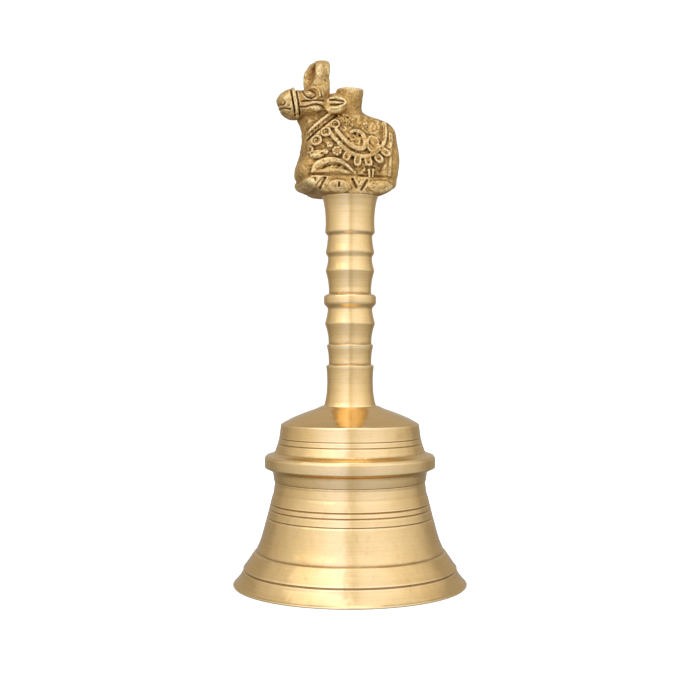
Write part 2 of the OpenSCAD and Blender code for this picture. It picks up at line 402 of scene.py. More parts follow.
def formed(name, low, high, step, shape):
    """A piece whose surface is where the distance field shape(x, y, z) is zero."""
    low, high = np.array(low, float), np.array(high, float)
    x, y, z = (low[n] + np.arange(int((high[n] - low[n]) / step) + 2) * step for n in range(3))
    field = shape(x[:, None, None], y[None, :, None], z[None, None, :])
    vertices, quads = surface_net(field, low, step)
    return new_piece(name, vertices, quads, sharp_degrees=0)


# ---------------------------------------------------------------- the bull
# Drawn in mm from the middle of its underside, head towards -X. Its two flanks are alike.
# The relief is drawn on a sheet that stands turned a little towards the head: u runs along the
# sheet, away from the head, and z runs up. So the work wraps round the chest without stretching.

SHEET_TURN = math.radians(12)
HEAD_TURN = math.radians(7)
# The finished drawing is slid this far towards the head
RELIEF_SLIDE = 0.9
NECK_X = -7.0
BULL_H = 43.7
PLINTH_TOP = 5.3
STUD_BORE = (3.1, 8.3)
HORN_MIDDLE = np.array([-11.2, 0, 39.2])
NECKLACE_SHELLS = [((-4.9, 22.6), 1.95), ((-8.0, 19.8), 2.05), ((-11.1, 17.0), 2.15),
                   ((-13.4, 14.0), 1.6)]
CLOTH_EDGE = [(12.0, 24.3), (12.1, 22.4), (12.0, 19.6), (11.0, 16.5), (8.7, 13.9), (5.6, 12.4),
              (2.6, 12.4), (-0.3, 13.5), (-2.9, 15.3), (-5.0, 17.5), (-6.4, 19.3)]
CLOTH_TABS = [(-1.3, 11.7), (2.4, 10.3), (6.2, 10.3), (9.7, 11.5), (12.1, 13.7)]
CLOTH_CENTRE = np.array([3.2, 19.5])


def spiral(centre, radius, turns, start=0.0):
    t = np.linspace(0, 1, 18)
    a = math.radians(start) + t * turns * 2 * math.pi
    r = radius * (0.25 + 0.75 * t)
    return np.stack([centre[0] + r * np.cos(a), centre[1] + r * np.sin(a)], 1)


def necklace(work):
    """Twisted cords with a deep groove under them, and a row of curled shells."""
    top, foot = np.array([-5.2, 26.9]), np.array([-14.7, 19.1])
    for shift, half, height in ((-0.62, 0.5, 0.5), (0.12, 0.42, 0.62), (0.8, 0.46, 0.7)):
        offset = np.array([0.63, 0.77]) * -shift
        cord = spline([top - offset, top * 0.62 + foot * 0.38 - offset + (-0.1, 0.15), foot - offset])
        work.ridge(cord, half, height, flat=0.2)
    work.ridge([(-3.6, 24.6), (-6.9, 21.9), (-10.4, 19.0), (-13.4, 15.8), (-14.4, 13.6)],
                1.3, 0.45, flat=0.5)
    for centre, radius in NECKLACE_SHELLS:
        work.lobe(centre, (radius, radius * 0.92), 0.6, turn=40, flat=0.6)
        rim = np.array(centre) + spline([(radius * 0.72 * math.cos(a), radius * 0.68 * math.sin(a))
                                         for a in np.radians(range(-150, 91, 40))], 3)
        work.ridge(rim, 0.42, 0.95)
    work.add([(-4.1, 25.6), (-6.9, 23.3), (-10.0, 20.7), (-13.9, 17.3)], 0.42, -0.8)
    for centre, radius in NECKLACE_SHELLS:
        work.add(spiral(centre, radius * 0.5, 1.1, start=200), 0.3, -0.4)
        work.add([centre], 0.34, -0.4)
    for centre in ((-2.7, 25.1), (-1.2, 23.9), (-3.2, 23.4), (-0.7, 26.0), (-1.9, 26.2), (0.2, 24.9)):
        work.lobe(centre, (0.75, 0.5), 0.5, turn=35)
        work.add(np.array([centre]) + 0.15, 0.25, -0.3)


def saddle_cloth(work):
    """A cloth with a cord edge, hanging tabs, a scroll and a drop."""
    edge = spline(CLOTH_EDGE)
    work.plate(np.vstack([edge, spline([(-4.8, 22.0), (-2.0, 25.8), (6.0, 26.8)])]), 0.2)
    work.ridge(edge, 0.8, 0.72, flat=0.5)
    work.add([(11.75, 24.2), (11.8, 22.4), (11.7, 19.8), (11.1, 17.9)], 0.24, -0.4)
    scroll = spline([(-4.6, 20.6), (-3.1, 18.7), (-1.4, 17.0), (0.6, 15.6), (2.8, 14.8), (4.5, 15.1),
                     (5.2, 16.6), (4.9, 18.7), (3.8, 20.3), (1.9, 20.8), (0.4, 20.2)])
    work.ridge(scroll, np.interp(np.linspace(0, 1, len(scroll)), [0, 0.3, 0.7, 1],
               [0.7, 0.95, 0.95, 0.6]), 0.78, flat=0.5)
    work.ridge([(4.5, 21.6), (5.6, 20.7), (7.2, 20.3), (8.6, 20.5), (9.5, 21.0)], 0.5, 0.5, flat=0.3)
    work.lobe((9.5, 19.1), (0.6, 0.75), 0.5)
    work.add([(9.5, 19.1)], 0.3, -0.4)
    for curl in ([(-0.9, 19.2), (0.1, 18.2), (1.2, 17.6), (1.9, 18.2), (1.5, 19.0)],
                 [(0.9, 16.8), (2.1, 16.3), (3.2, 16.8), (3.3, 17.9), (2.6, 18.2)],
                 [(-3.0, 21.2), (-1.8, 20.4), (-1.2, 21.2), (-1.9, 21.9)],
                 [(-4.9, 22.4), (-3.9, 21.7), (-3.5, 22.5)]):
        work.ridge(curl, 0.34, 0.5)
    for pit, size in (((1.7, 19.9), 0.5), ((0.2, 16.9), 0.35), ((2.6, 17.2), 0.3), ((3.4, 19.2), 0.4),
                      ((-0.4, 17.9), 0.35), ((-2.2, 17.1), 0.3), ((-2.6, 19.9), 0.35), ((3.9, 17.4), 0.3)):
        work.add([pit], size, -0.5)
    drop = spline([(7.2, 19.2), (8.9, 18.6), (9.5, 16.9), (8.8, 14.9), (7.3, 14.0), (6.2, 14.9),
                   (6.0, 16.6), (6.3, 18.3)], closed=True)
    work.plate(drop, 0.62, edge=0.2)
    work.ridge(np.vstack([drop, drop[:1]]), 0.42, 0.82, flat=0.3)
    work.add([(6.5, 17.2), (7.1, 16.4), (7.9, 15.6)], 0.34, -0.45)
    for place in CLOTH_TABS:
        place = np.array(place)
        out = (place - CLOTH_CENTRE) / np.linalg.norm(place - CLOTH_CENTRE)
        across = np.array([-out[1], out[0]])
        work.ridge([place - out * 0.75, place + out * 0.3], 1.42, 0.55, flat=0.6)
        rim = spline([place - out * 1.3 - across * 0.85, place + out * 0.3 - across * 0.95,
                      place + out * 1.0, place + out * 0.3 + across * 0.95,
                      place - out * 1.3 + across * 0.85])
        work.ridge(rim, 0.38, 0.8, flat=0.2)
        work.add([place - out * 0.15], 0.45, -0.5)
    work.ridge([(13.9, 20.3), (13.9, 18.0), (13.2, 15.9)], 0.85, 0.42, flat=0.5)
    for z in (19.6, 18.2, 16.8):
        work.add([(13.8, z)], 0.26, -0.3)


def beaded_ground(work):
    """The small beads and nicks that crowd the cloth under the hump and round the scroll."""
    spots = np.random.default_rng(5)
    for u, v, spread_u, spread_v, count in ((-1.5, 23.6, 2.6, 2.0, 34), (-3.4, 16.0, 1.4, 1.6, 10),
                                            (4.5, 22.6, 3.6, 0.7, 12), (9.9, 17.0, 0.7, 2.6, 9),
                                            (-5.6, 8.6, 3.6, 0.7, 14), (3.6, 7.6, 2.4, 1.1, 16),
                                            (-12.5, 22.5, 1.6, 1.6, 8), (-10.5, 12.6, 2.2, 1.0, 14)):
        for _ in range(count):
            place = (u + spots.uniform(-spread_u, spread_u), v + spots.uniform(-spread_v, spread_v))
            if spots.uniform() < 0.5:
                work.add([place], spots.uniform(0.3, 0.5), -0.35)
            else:
                work.add([place], spots.uniform(0.4, 0.65), 0.32)


def flank_trim(work):
    """The flower by the knee, the boss above the foreleg and the beads of the breast band."""
    work.lobe((-4.4, 13.5), (1.7, 1.65), 0.55, flat=0.7)
    for a in range(7):
        turn = 2 * math.pi * a / 7 + 0.3
        work.lobe((-4.4 + 1.2 * math.cos(turn), 13.5 + 1.15 * math.sin(turn)), (0.58, 0.55), 0.78)
    work.lobe((-4.4, 13.5), (0.75, 0.75), 0.72)
    work.add([(-4.4, 13.5)], 0.24, -0.5)
    work.lobe((-6.7, 15.5), (1.25, 1.1), 0.6, turn=-30)
    work.add([(-7.4, 15.2), (-6.7, 15.9), (-6.0, 15.4)], 0.24, -0.4)
    work.lobe((-10.9, 12.4), (2.5, 1.55), 0.75, turn=8, flat=0.35)
    work.lobe((-8.3, 13.2), (1.3, 0.95), 0.6, turn=-15, flat=0.3)
    for pit in ((-11.8, 12.9), (-10.6, 11.7), (-9.3, 12.6), (-8.2, 13.5), (-12.4, 11.6), (-10.2, 13.2)):
        work.add([pit], 0.3, -0.35)


def legs(work):
    """The folded foreleg, the hoof of the hind leg, the haunch and the tail."""
    work.plate(spline([(-13.0, 5.6), (-12.6, 7.6), (-10.6, 9.8), (-7.2, 11.3), (-3.8, 11.2), (-1.0, 9.6),
               (1.4, 7.3), (2.6, 5.6)]), 0.42, edge=0.35)
    foreleg = spline([(-12.2, 6.8), (-11.4, 8.3), (-9.4, 9.7), (-6.6, 10.5), (-3.6, 10.3), (-1.2, 9.0),
                      (0.8, 7.3)])
    wide = np.interp(np.linspace(0, 1, len(foreleg)), [0, 0.25, 0.6, 1], [0.8, 1.35, 1.0, 0.45])
    work.ridge(foreleg, wide, 0.85, flat=0.35)
    work.add([(-10.2, 7.1), (-8.2, 8.3), (-5.4, 9.0), (-2.7, 8.6), (-0.9, 7.4)], 0.42, -0.42)
    work.ridge([(-11.2, 6.6), (-7.0, 7.1), (-3.4, 7.3), (-0.6, 6.5)], 0.75, 0.62, flat=0.3)
    work.ridge([(6.2, 7.9), (6.5, 5.9)], 0.55, 0.75)
    work.ridge([(7.7, 8.1), (7.5, 5.9)], 0.5, 0.7)
    work.add([(5.2, 7.0)], 0.5, -0.45)
    work.add([(4.0, 8.4), (6.0, 9.0), (8.4, 8.6)], 0.4, -0.3)
    work.add([(11.9, 6.4), (11.8, 9.0), (10.8, 11.0)], 1.7, 0.35)
    work.add([(13.9, 17.0), (13.5, 11.0), (13.3, 6.4)], 0.9, 0.45)
    work.add([(9.8, 7.4), (10.6, 8.9), (11.6, 10.4)], 0.6, -0.35)


def ledge(work):
    work.ridge([(-12.5, 5.3), (11.5, 5.3)], 0.5, 0.22, flat=0.3)
    work.add([(-13.5, 6.0), (12.5, 6.0)], 0.42, -0.3)


def lotus(work):
    """Broad petals on the side of the pedestal, parted by V notches."""
    work.lobe((-3.8, 2.4), (4.3, 2.3), 0.7, flat=0.05)
    work.lobe((10.2, 2.6), (4.3, 2.2), 0.65, flat=0.05)
    work.lobe((-13.6, 2.9), (2.9, 1.9), 0.45, flat=0.05)
    work.lobe((3.0, 3.6), (1.4, 1.2), 0.4, flat=0.1)
    work.add([(-8.3, 4.7), (-9.9, 1.5)], 0.6, -0.6)
    work.add([(-9.0, 4.8), (-11.3, 2.2)], 0.35, -0.35)
    work.add([(0.7, 4.7), (2.0, 2.0)], 0.6, -0.62)
    work.add([(5.6, 4.4), (3.7, 1.3)], 0.6, -0.62)
    work.add([(2.4, 4.3), (2.8, 3.5), (3.3, 4.3)], 0.28, -0.4)
    work.add([(-3.8, 3.3), (-3.8, 2.0)], 0.42, -0.65)
    work.add([(-11.6, 4.5), (-11.5, 3.4)], 0.35, -0.4)
    work.add([(-7.9, 1.6), (-6.6, 3.7), (-3.8, 4.5), (-1.0, 3.7), (0.6, 1.7)], 0.3, -0.3)


def face(work):
    """Eye, brows, cheek straps, noseband, nostril and mouth."""
    work.ridge([(-18.6, 36.0), (-18.3, 33.0), (-17.9, 30.2), (-17.4, 27.6), (-17.0, 25.0)],
                0.75, 0.4, flat=0.4)
    for band in ([(-19.5, 36.0), (-19.2, 33.3), (-18.8, 30.2), (-18.2, 27.1), (-17.8, 25.3)],
                 [(-17.8, 36.0), (-17.6, 33.0), (-17.1, 30.2), (-16.7, 27.8), (-16.4, 25.5)]):
        work.add(band, 0.36, -0.75)
    work.add([(-18.3, 32.6), (-17.6, 28.0)], 0.18, -0.2)
    work.lobe((-17.3, 25.9), (0.7, 0.7), 0.6)
    work.add([(-17.9, 25.2)], 0.35, -0.5)
    work.add([(-23.2, 27.5), (-21.4, 27.2), (-19.4, 26.8)], 0.32, -0.45)
    work.add([(-19.6, 26.9)], 0.4, -0.5)
    work.add([(-22.6, 28.8), (-22.0, 28.2), (-21.3, 28.4), (-21.2, 29.0)], 0.28, -0.45)
    work.add([(-19.9, 27.9)], 0.32, -0.4)
    work.add([(-23.6, 29.8), (-22.4, 30.6), (-21.0, 30.4)], 1.4, 0.2)
    work.add([(-15.3, 33.1), (-14.7, 31.9), (-13.6, 31.0), (-12.2, 30.9), (-11.2, 31.6), (-11.2, 32.5),
              (-12.2, 33.4), (-13.3, 33.8)], 0.34, -0.6)
    work.lobe((-12.9, 32.4), (1.15, 0.68), 0.5, turn=-18, flat=0.2)
    work.add([(-13.9, 32.6), (-12.9, 33.1), (-11.9, 32.6)], 0.2, -0.3)
    work.ridge([(-15.0, 31.2), (-13.8, 30.4), (-12.2, 30.2), (-10.9, 30.9)], 0.3, 0.25)
    for brow in ([(-12.6, 34.6), (-11.1, 34.2), (-10.1, 33.1), (-9.6, 31.6)],
                 [(-11.8, 35.6), (-10.2, 35.0), (-9.2, 33.7), (-8.7, 31.9)]):
        work.ridge(brow, 0.4, 0.48)
    work.add([(-12.2, 35.1), (-10.6, 34.7), (-9.6, 33.4), (-9.1, 31.6)], 0.24, -0.35)
    work.ridge([(-15.9, 28.6), (-13.6, 29.2), (-11.0, 29.7), (-8.6, 29.5)], 0.75, 0.22, flat=0.5)
    work.add([(-15.6, 29.6), (-13.6, 29.9), (-11.8, 30.2), (-8.4, 30.2)], 0.34, -0.55)
    work.add([(-16.2, 27.8), (-14.2, 28.0), (-13.0, 28.5), (-10.9, 29.0), (-9.1, 28.5), (-8.5, 27.8)],
              0.32, -0.5)
    work.lobe((-10.9, 27.5), (1.75, 0.85), 0.38, flat=0.5)


def ear_work(work):
    work.ridge([(-7.2, 31.1), (-4.6, 31.2), (-2.0, 29.7), (-4.6, 28.0), (-7.2, 27.9)], 0.45, 0.35)
    work.add([(-7.4, 30.5), (-5.4, 30.3), (-3.2, 29.8)], 0.36, -0.55)
    work.add([(-7.3, 28.9), (-5.4, 28.8), (-3.3, 29.1)], 0.32, -0.5)


BODY_OUTLINE = [(-14.0, 2.2), (-16.6, 3.2), (-18.2, 5.6), (-18.5, 8.2), (-17.6, 11.0), (-16.5, 14.5),
                (-16.3, 18.5), (-17.0, 22.0), (-18.4, 24.6), (-17.0, 28.5), (-12.5, 32.5), (-6.5, 34.0),
                (-1.5, 34.1), (2.0, 31.5), (3.4, 28.9), (5.0, 27.7), (8.2, 26.6), (11.2, 25.8),
                (13.6, 24.6), (15.1, 22.3), (15.5, 18.6), (15.5, 13.5), (15.2, 8.5), (14.4, 4.5),
                (12.5, 2.8), (8.0, 2.2)]
HEAD_OUTLINE = [(-20.6, 24.1), (-23.2, 25.2), (-24.6, 27.8), (-25.0, 30.4), (-24.0, 32.6), (-21.6, 33.9),
                (-19.2, 33.9), (-17.2, 34.0), (-15.2, 34.9), (-12.8, 35.9), (-9.2, 35.9), (-8.0, 33.5),
                (-8.3, 29.5), (-9.2, 26.0), (-11.5, 24.6), (-16.0, 24.7)]


def sheet_place(x, y, turn):
    """Where a point of either flank lies along the sheet that the relief is drawn on."""
    return x * math.cos(turn) + np.abs(y) * math.sin(turn)


def pedestal_field(x, y, z):
    """A bar with rounded ends and bulging sides, drawn in below to the top of the handle."""
    middle, half_l, half_w, corner = -1.45, 15.5, 9.0, 4.0
    bulge = 0.35 * (1 - ((z - 3.0) / 2.4) ** 2)
    px = np.abs(x - middle) - (half_l - corner)
    py = np.abs(y) - (half_w - corner)
    plan = (np.hypot(np.maximum(px, 0), np.maximum(py, 0)) + np.minimum(np.maximum(px, py), 0)
            - corner - bulge)
    reach = np.abs(x - middle) - 9.3
    slope = 0.92 * (0.48 * reach - z)
    field = soft_max(plan, slope, 1.6)
    field = soft_max(field, z - PLINTH_TOP, 1.0)
    return soft_max(field, -z, 0.8)


def horn_field(x, y, z):
    """Flat horns whose tips meet, so they make a ring across the head, cut level on top."""
    tall, wide, limb = 4.7, 5.0, 1.35
    py, pz = y / wide, (z - HORN_MIDDLE[2]) / tall
    near = np.hypot(py, pz)
    far = np.hypot(py / wide, pz / tall)
    ring = near * (near - 1) / (far + 1e-3)
    front = HORN_MIDDLE[0] - 3.2 + 1.3 * ramp(40.2, 43.9, z) - 0.4 * ramp(39, 34.5, z)
    back = HORN_MIDDLE[0] + 1.8 + 0.7 * ramp(38, 43.5, z)
    blade = soft_max(np.abs(ring) - limb, np.maximum(front - x, x - back), 1.9)
    root = ellipsoid(x, y, z, (HORN_MIDDLE[0] - 0.3, -3.9, 35.2), (2.6, 2.2, 3.0))
    field = soft_min(blade, root, 1.2)
    return soft_max(field, z - (BULL_H - 0.05), 0.4)


def ear_field(x, y, z):
    """A thick pointed leaf that stands out and back from the cheek."""
    lean = math.radians(33)
    root = np.array([-10.2, -4.2, 29.1])
    along = (x - root[0]) * math.cos(lean) - (y - root[1]) * math.sin(lean)
    through = (x - root[0]) * math.sin(lean) + (y - root[1]) * math.cos(lean)
    leaf = spline([(-0.6, 27.5), (1.6, 25.9), (4.2, 26.0), (6.0, 27.3), (6.9, 29.2), (6.1, 31.1),
                   (4.0, 32.3), (1.5, 32.0), (-0.6, 30.8)], closed=True)
    flat = outline_lookup(leaf, along, z)
    belly = 1.35 - 0.35 * ramp(29.5, 31.5, z) + 0.6 * ramp(29.2, 26.8, z)
    return soft_max(flat, np.abs(through) - belly, 1.6)


def outline_lookup(points, u, v):
    """The distance to an outline at many places, read from a fine map of it."""
    u, v = np.broadcast_arrays(u, v)
    margin = 3.0
    low, high = points.min(0) - margin, points.max(0) + margin
    sheet = Relief(low, high)
    a = low[0] + np.arange(sheet.height.shape[0])[:, None] * sheet.STEP
    b = low[1] + np.arange(sheet.height.shape[1])[None, :] * sheet.STEP
    sheet.height = outline_distance(a, b, points).astype(np.float32)
    beyond_u = np.maximum(low[0] - u, u - high[0])
    beyond_v = np.maximum(low[1] - v, v - high[1])
    return sheet.at(u, v) + np.maximum(np.maximum(beyond_u, beyond_v), 0)


def trunk_field(x, y, z, rough):
    """Body, hump and pedestal, with the harness and the lotus in relief. The ground between the
    ornaments is as rough as the rough field says."""
    work = Relief((-27, -1), (18, 48))
    for draw in (saddle_cloth, necklace, flank_trim, legs, beaded_ground, ledge, lotus):
        draw(work)
    body = outline_distance(x, z, spline(BODY_OUTLINE, 4, closed=True))
    half = 8.8 - 4.4 * ramp(9, 33, z) - 2.2 * ramp(-8, -18, x) - 0.6 * ramp(11, 16, x)
    field = soft_max(body, np.abs(y) - half, 5.0)
    haunch = ellipsoid(x, np.abs(y), z, (9.2, 3.2, 12.0), (6.0, 6.0, 8.2))
    shoulder = ellipsoid(x, np.abs(y), z, (-6.5, 2.6, 17.0), (7.2, 5.4, 9.5))
    field = soft_min(soft_min(field, haunch, 2.0), shoulder, 2.5)
    column = np.hypot(x + 0.1, y)
    hump = soft_max(column - (3.75 + 0.8 * ramp(27, 36, z)), z - 35.75 + 0.005 * column ** 2, 0.35)
    field = soft_min(field, np.maximum(hump, 20 - z), 1.0)
    field = soft_min(field, pedestal_field(x, y, z), 0.5)
    u, v = np.broadcast_arrays(sheet_place(x, y, SHEET_TURN) + RELIEF_SLIDE, z)
    height = work.at(u, v) * (1 - ramp(6, 7, z) * ramp(-12.8, -14.6, u))
    flank = ramp(6.2, 7.5, z) * ramp(27, 24.5, z) * ramp(0.45, 0.15, height)
    flank *= ramp(-15, -12.5, u) * ramp(12.5, 10.5, u)
    return field - height + flank * rough


def head_field(x, y, z):
    """The head with its horns, and apart from it the ears, in the head's own frame."""
    face_work, leaf_work = Relief((-27, 20), (2, 48)), Relief((-27, 20), (2, 48))
    face(face_work)
    ear_work(leaf_work)
    turn = SHEET_TURN + HEAD_TURN
    u = NECK_X * math.cos(SHEET_TURN) + sheet_place(x - NECK_X, y, turn)
    u, v = np.broadcast_arrays(u, z)
    head = outline_distance(x, z, spline(HEAD_OUTLINE, 4, closed=True))
    cheek = (4.9 - 1.0 * ramp(-12, -18, x) + 0.45 * ramp(-18.5, -21, x)
             - 1.0 * ramp(31.5, 36, z) - 0.9 * ramp(28, 25, z))
    head = soft_max(head, np.abs(y) - cheek, 3.6) - face_work.at(u + RELIEF_SLIDE, v)
    head = soft_min(head, horn_field(x, y, z), 1.3)
    pit = np.sqrt((u + 9.0) ** 2 + (v - 36.6) ** 2)
    head = head + 0.35 * ramp(0.45, 0.1, pit) * ramp(2, 4, np.abs(y))
    ears = ear_field(x, -np.abs(y), z) - leaf_work.at(u, v)
    return soft_min(head, ears, 0.35)


def bull_field(x, y, z, rough):
    trunk = trunk_field(x, y, z, rough)
    c, s = math.cos(HEAD_TURN), math.sin(HEAD_TURN)
    head_x = NECK_X + c * (x - NECK_X) + s * y
    head_y = c * y - s * (x - NECK_X)
    near_head = x[:, 0, 0] < 4.0
    head = head_field(head_x[near_head], head_y[near_head], z)
    trunk[near_head] = soft_min(trunk[near_head], head, 0.5)
    return trunk


def cast_bull(step):
    """The casting's surface, and how hollow each place on it is at two scales."""
    low = np.array([-26.4, -11.2, -0.8])
    high = np.array([17.4, 11.2, BULL_H + 0.9])
    x, y, z = ((low[n] + np.arange(int((high[n] - low[n]) / step) + 1) * step).astype(np.float32)
               for n in range(3))
    shape = (len(x), len(y), len(z))
    fine, mid, broad = (lumps(shape, cell / step, rng) for cell in (0.55, 0.95, 2.1))
    field = bull_field(x[:, None, None], y[None, :, None], z[None, None, :],
                       0.15 * fine + 0.13 * mid).astype(np.float32)
    field += 0.04 * fine + 0.05 * mid + 0.08 * broad
    field = np.maximum(field, (z - BULL_H)[None, None, :])
    field = np.maximum(field, -z[None, None, :])
    bore = np.maximum(np.hypot(x[:, None, None], y[None, :, None]) - STUD_BORE[0], z - STUD_BORE[1])
    field = np.maximum(field, -bore)
    vertices, quads = surface_net(field, low, step)
    small = blurred(field, 2 * int(0.45 / step) + 1)
    large = blurred(field, 2 * int(1.3 / step) + 1)
    hollow_small = sampled(small, vertices, low, step)
    hollow_large = sampled(large, vertices, low, step)
    return vertices, quads, hollow_small, hollow_large


# ---------------------------------------------------------------- materials

class Look:
    """A material whose node tree is built up one call at a time. Lengths are in millimetres."""

    def __init__(self, name):
        self.material = bpy.data.materials.new(name)
        self.material.use_nodes = True
        self.nodes = self.material.node_tree.nodes
        self.links = self.material.node_tree.links
        self.shader = self.nodes["Principled BSDF"]
        coordinates = self.nodes.new("ShaderNodeTexCoord")
        self.place = self.vector("SCALE", coordinates.outputs["Object"], 1 / MM)
        split = self.nodes.new("ShaderNodeSeparateXYZ")
        self.links.new(self.place, split.inputs[0])
        self.x, self.y, self.z = split.outputs

    def feed(self, socket, value):
        if isinstance(value, bpy.types.NodeSocket):
            self.links.new(value, socket)
        else:
            socket.default_value = value

    def math(self, operation, a, b=0.0):
        node = self.nodes.new("ShaderNodeMath")
        node.operation = operation
        self.feed(node.inputs[0], a)
        self.feed(node.inputs[1], b)
        return node.outputs[0]

    def plus(self, a, b):
        return self.math("ADD", a, b)

    def times(self, a, b):
        return self.math("MULTIPLY", a, b)

    def vector(self, operation, a, b):
        node = self.nodes.new("ShaderNodeVectorMath")
        node.operation = operation
        self.feed(node.inputs[0], a)
        self.feed(node.inputs["Scale" if operation == "SCALE" else 1], b)
        return node.outputs[0]

    def combine(self, x, y, z):
        node = self.nodes.new("ShaderNodeCombineXYZ")
        for socket, value in zip(node.inputs, (x, y, z)):
            self.feed(socket, value)
        return node.outputs[0]

    def noise(self, scale, detail=3.0, roughness=0.55, place=None):
        node = self.nodes.new("ShaderNodeTexNoise")
        self.feed(node.inputs["Vector"], self.place if place is None else place)
        node.inputs["Scale"].default_value = scale
        node.inputs["Detail"].default_value = detail
        node.inputs["Roughness"].default_value = roughness
        return node.outputs["Fac"]

    def cells(self, scale):
        node = self.nodes.new("ShaderNodeTexVoronoi")
        self.feed(node.inputs["Vector"], self.place)
        node.inputs["Scale"].default_value = scale
        return node.outputs["Distance"]

    def attribute(self, name):
        node = self.nodes.new("ShaderNodeAttribute")
        node.attribute_name = name
        return node.outputs["Fac"]

    def spread(self, value, low, high, to_low=0.0, to_high=1.0):
        node = self.nodes.new("ShaderNodeMapRange")
        node.interpolation_type = "SMOOTHSTEP"
        self.feed(node.inputs["Value"], value)
        for name, number in (("From Min", low), ("From Max", high), ("To Min", to_low),
                             ("To Max", to_high)):
            node.inputs[name].default_value = number
        return node.outputs["Result"]

    def mix(self, share, a, b):
        node = self.nodes.new("ShaderNodeMix")
        node.data_type = "RGBA"
        self.feed(node.inputs["Factor"], share)
        for socket, value in ((node.inputs[6], a), (node.inputs[7], b)):
            self.feed(socket, value if isinstance(value, bpy.types.NodeSocket) else (*value, 1))
        return node.outputs[2]

    def tinted(self, colour, value, low, high, most, tint):
        """The colour with the tint over it: none where the value is low, and most where it is high."""
        return self.mix(self.spread(value, low, high, 0.0, most), colour, tint)

    def stretched(self, x, y, z):
        """The place with each direction scaled by its own number."""
        return self.combine(self.times(self.x, x), self.times(self.y, y), self.times(self.z, z))

    def bump(self, height, depth, under=None):
        """Bumps the surface by the height, which runs from 0 to 1 over depth mm."""
        node = self.nodes.new("ShaderNodeBump")
        node.inputs["Distance"].default_value = depth * MM
        self.feed(node.inputs["Height"], height)
        if under is not None:
            self.feed(node.inputs["Normal"], under)
        return node.outputs["Normal"]

    def surface(self, colour, roughness, normal, metallic=1.0):
        self.feed(self.shader.inputs["Base Color"], colour)
        self.feed(self.shader.inputs["Roughness"], roughness)
        self.feed(self.shader.inputs["Normal"], normal)
        self.shader.inputs["Metallic"].default_value = metallic

    def gloss(self, weight, roughness, ior=1.5):
        self.shader.inputs["Coat Weight"].default_value = weight
        self.shader.inputs["Coat Roughness"].default_value = roughness
        self.shader.inputs["Coat IOR"].default_value = ior


def turned_brass(name, fresh, warm, wear):
    """Brass off the lathe: lines round the axis, polish, warm stains, grime in the grooves."""
    look = Look(name)
    radius = look.math("SQRT", look.plus(look.times(look.x, look.x),
                                         look.times(look.y, look.y)))
    along = look.plus(look.z, look.times(radius, 0.83))
    round_x, round_y = look.times(look.x, 0.045), look.times(look.y, 0.045)
    fine = look.noise(1.0, 2.0, 0.6, look.combine(round_x, round_y, look.times(along, 5.2)))
    coarse = look.noise(1.0, 2.0, 0.5, look.combine(round_x, round_y, look.times(along, 1.15)))
    speckle = look.noise(2.4, 3.0, 0.7)
    cloud = look.noise(0.075, 4.0, 0.62)
    stain = look.noise(0.16, 5.0, 0.7, look.vector("ADD", look.place, (40.0, 7.0, 90.0)))
    rub = look.noise(1.0, 3.0, 0.6, look.stretched(0.5, 0.5, 0.16))
    hollow = look.attribute("hollow")
    patchy = look.times(look.math("SUBTRACT", look.noise(0.5, 3.0, 0.65), 0.5), 0.06)
    grime = look.spread(look.plus(hollow, patchy), 0.015, 0.09)
    colour = look.mix(look.spread(cloud, 0.42, 0.68, 0.0, 0.55), fresh, warm)
    colour = look.tinted(colour, stain, 0.58, 0.72, wear, (0.66, 0.37, 0.10))
    colour = look.mix(look.spread(fine, 0.38, 0.55, 0.12, 0.0), colour, (0.40, 0.25, 0.10))
    colour = look.tinted(colour, speckle, 0.60, 0.74, 0.14, (0.36, 0.25, 0.14))
    colour = look.tinted(colour, hollow, -0.01, -0.05, 0.5, (0.93, 0.74, 0.42))
    colour = look.mix(look.times(grime, 0.72), colour, (0.27, 0.15, 0.05))
    roughness = look.plus(look.spread(fine, 0.3, 0.7, 0.13, 0.22),
                          look.plus(look.spread(cloud, 0.35, 0.7, 0.0, 0.07),
                                    look.spread(rub, 0.5, 0.7, 0.0, 0.07)))
    roughness = look.plus(roughness, look.times(grime, 0.25))
    normal = look.bump(look.noise(0.15, 2.0, 0.5), 0.20)
    normal = look.bump(coarse, 0.026, normal)
    normal = look.bump(fine, 0.008, normal)
    look.surface(colour, roughness, normal)
    look.shader.inputs["Anisotropic"].default_value = 0.5
    look.shader.inputs["Anisotropic Rotation"].default_value = 0.25
    tangent = look.nodes.new("ShaderNodeTangent")
    tangent.direction_type, tangent.axis = "RADIAL", "Z"
    look.links.new(tangent.outputs[0], look.shader.inputs["Tangent"])
    look.shader.inputs["Specular Tint"].default_value = (0.92, 0.76, 0.48, 1)
    look.gloss(0.8, 0.1, 1.6)
    return look.material


